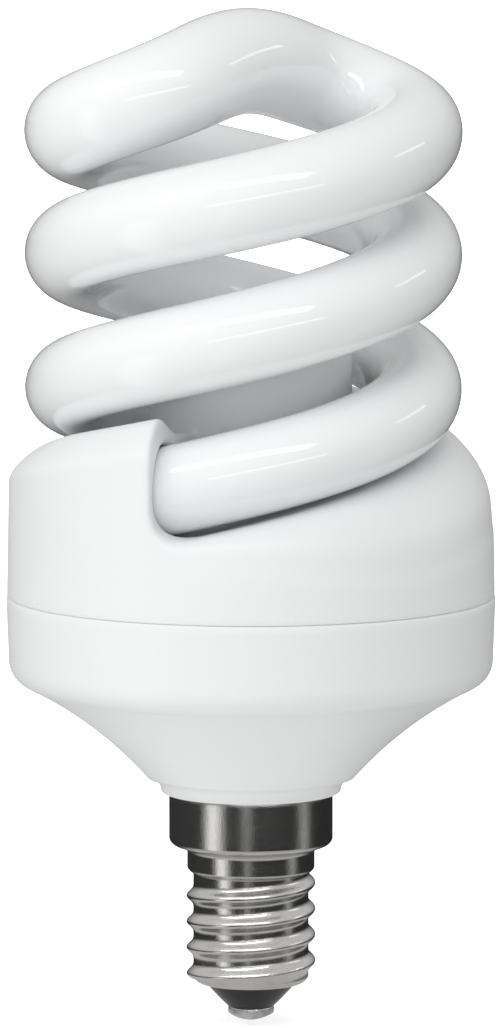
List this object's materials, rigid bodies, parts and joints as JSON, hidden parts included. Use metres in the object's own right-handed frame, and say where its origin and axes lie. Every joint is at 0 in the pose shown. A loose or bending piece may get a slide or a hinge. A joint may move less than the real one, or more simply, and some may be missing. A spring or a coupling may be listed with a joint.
{
  "type": "compact fluorescent bulb",
  "caption": "Compact fluorescent bulb: a white spiral glass tube on a round white housing that tapers to a small screw cap.",
  "frame": {"origin": "tip of the cap's solder contact, on the axis of the cap and the housing", "axes": "+Z along the axis from the contact tip to the top of the spiral tube; -Y faces the camera of the picture; +X to the right in the picture"},
  "size_m": [0.0524, 0.0524, 0.109],
  "materials": {
    "tube": "glossy, opaque white coating behind clear glass",
    "housing": "satin moulded white",
    "cap_metal": "bright nickel plate",
    "cap_glass": "glossy black",
    "contact": "tinned brass",
    "solder": "bright solder",
    "board": "paper laminate",
    "ferrite": "dark ceramic",
    "bobbin": "moulded plastic",
    "copper": "enamelled copper",
    "capacitor_sleeve": "shrink sleeve",
    "film_coating": "dipped resin",
    "diode_body": "moulded black",
    "resistor_body": "lacquered",
    "transistor_body": "moulded black",
    "thermistor_body": "lacquered ceramic",
    "wire": "tinned wire",
    "wire_sleeve": "plastic sleeve",
    "pin": "tinned brass",
    "cement": "chalky cement"
  },
  "bodies": {
    "root": {"base_shell": "housing", "cap_contact": "contact", "cap_insulator": "cap_glass", "cap_shell": "cap_metal", "choke_bobbin": "bobbin", "choke_core_lower": "ferrite", "choke_core_upper": "ferrite", "choke_winding": "copper", "circuit_board": "board", "coupling_capacitor": "film_coating", "drive_core": "ferrite", "drive_winding_1": "copper", "drive_winding_2": "copper", "drive_winding_3": "copper", "electrode_lead_inner_a": "wire", "electrode_lead_inner_b": "wire", "electrode_lead_outer_a": "wire", "electrode_lead_outer_b": "wire", "filter_capacitor": "capacitor_sleeve", "fuse_resistor": "resistor_body", "glass_tube": "tube", "line_choke_core": "ferrite", "line_choke_winding": "copper", "live_wire": "wire_sleeve", "neutral_wire": "wire_sleeve", "rectifier_diode_1": "diode_body", "rectifier_diode_2": "diode_body", "rectifier_diode_3": "diode_body", "rectifier_diode_4": "diode_body", "resistor_1": "resistor_body", "resistor_2": "resistor_body", "resistor_3": "resistor_body", "resistor_4": "resistor_body", "resonant_capacitor": "film_coating", "start_thermistor": "thermistor_body", "timing_capacitor": "film_coating", "tip_solder": "solder", "transistor_1": "transistor_body", "transistor_2": "transistor_body", "trigger_diac": "diode_body", "tube_cement_a": "cement", "tube_cement_b": "cement", "tube_holder": "housing", "wrap_pin_inner_a": "pin", "wrap_pin_inner_b": "pin", "wrap_pin_outer_a": "pin", "wrap_pin_outer_b": "pin"}
  },
  "joints": []
}
